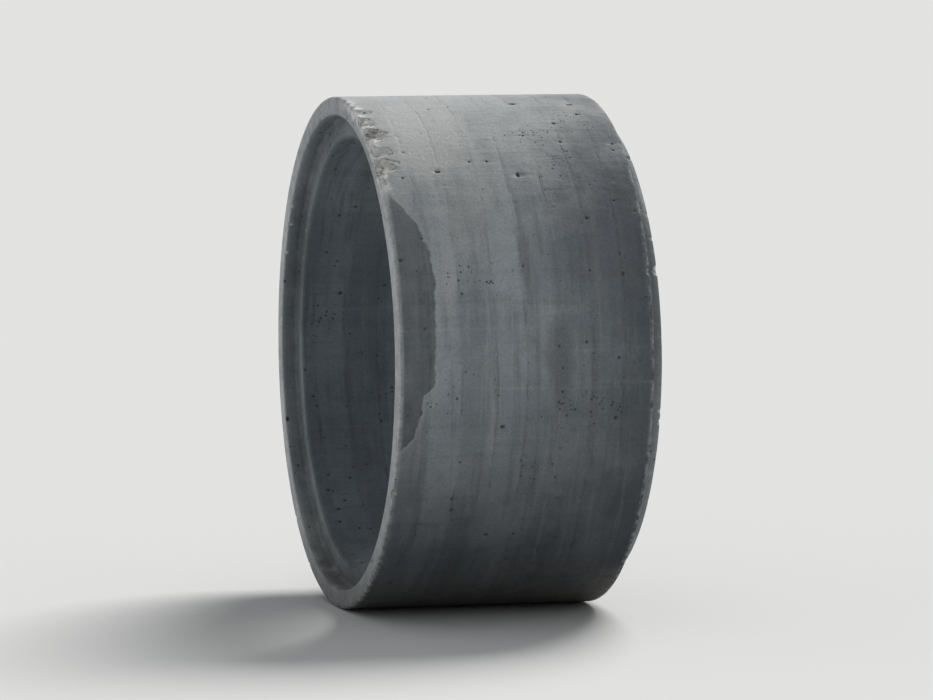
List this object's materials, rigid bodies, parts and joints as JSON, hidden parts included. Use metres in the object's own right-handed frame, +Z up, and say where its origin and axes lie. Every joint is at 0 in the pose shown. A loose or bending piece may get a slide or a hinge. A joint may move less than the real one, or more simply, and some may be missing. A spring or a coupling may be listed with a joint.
{
  "type": "concrete culvert pipe",
  "caption": "Short round precast concrete culvert pipe lying on its side, open right through, with a groove at one end and a tongue at the other that fits the next pipe's groove.",
  "frame": {"origin": "on the ground, under the middle of the pipe's overall length", "axes": "+X along the pipe's axis towards the spigot end with the tongue, -X towards the socket end with the groove, +Z up from the ground it lies on"},
  "size_m": [0.634, 1.2, 1.2],
  "materials": {
    "concrete": "matte grey concrete as struck from a steel mould, weathered outdoors"
  },
  "bodies": {
    "root": {"pipe": "concrete"}
  },
  "joints": []
}
